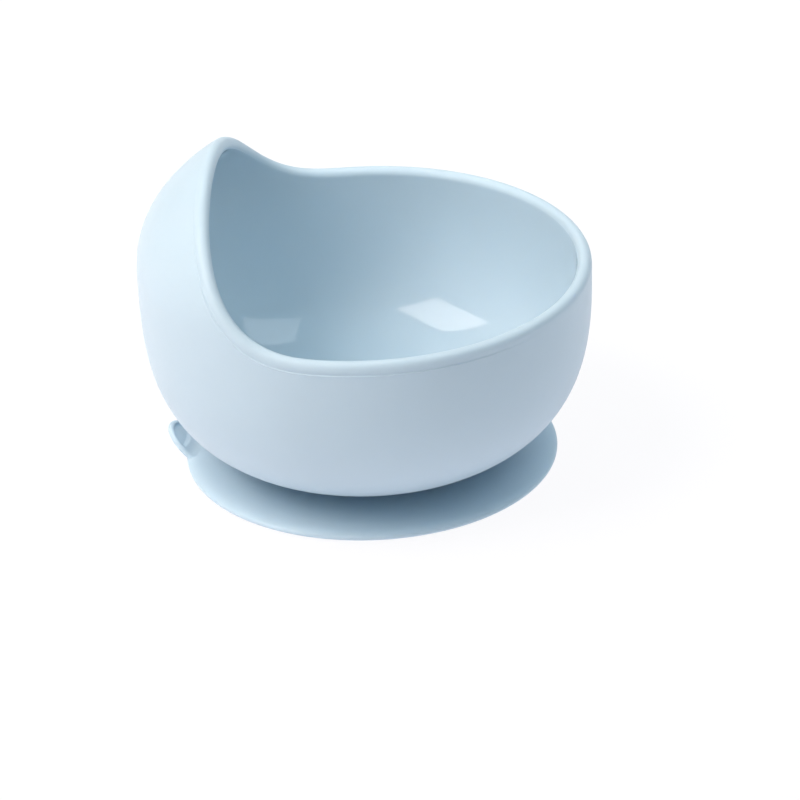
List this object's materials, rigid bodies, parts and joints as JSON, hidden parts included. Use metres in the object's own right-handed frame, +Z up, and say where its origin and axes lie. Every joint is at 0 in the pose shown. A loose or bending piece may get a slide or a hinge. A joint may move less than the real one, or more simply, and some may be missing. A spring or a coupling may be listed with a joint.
{
  "type": "infant suction bowl",
  "caption": "Rounded infant feeding bowl in soft silicone with a scoop-shaped opening, a tall hood on one side, and a flexible suction base with a pull tab.",
  "frame": {"origin": "on the table under the middle of the suction base, which is also the bowl's axis", "axes": "+Z up; -X towards the tall hood and the pull tab; the XZ plane is the plane of symmetry"},
  "size_m": [0.124, 0.124, 0.0885],
  "materials": {
    "bowl_silicone": "satin silicone",
    "base_silicone": "satin silicone, softer grade"
  },
  "bodies": {
    "base": {"seal_ring": "base_silicone", "diaphragm": "base_silicone"},
    "bowl": {"bowl_shell": "bowl_silicone", "stem_plug": "base_silicone"},
    "tab": {"release_tab": "base_silicone"}
  },
  "joints": [
    {"name": "press", "type": "slide", "parent": "base", "child": "bowl", "axis": [0, 0, -1], "range_m": [0, 0.0025], "stiffness_N_per_m": 5000, "springref_m": -0.0005, "deforming": ["diaphragm"]},
    {"name": "tab_lift", "type": "hinge", "parent": "base", "child": "tab", "pos_m": [-0.0495, 0, 0.0015], "axis": [0, 1, 0], "range_deg": [-40, 40], "stiffness_Nm_per_rad": 0.015}
  ]
}
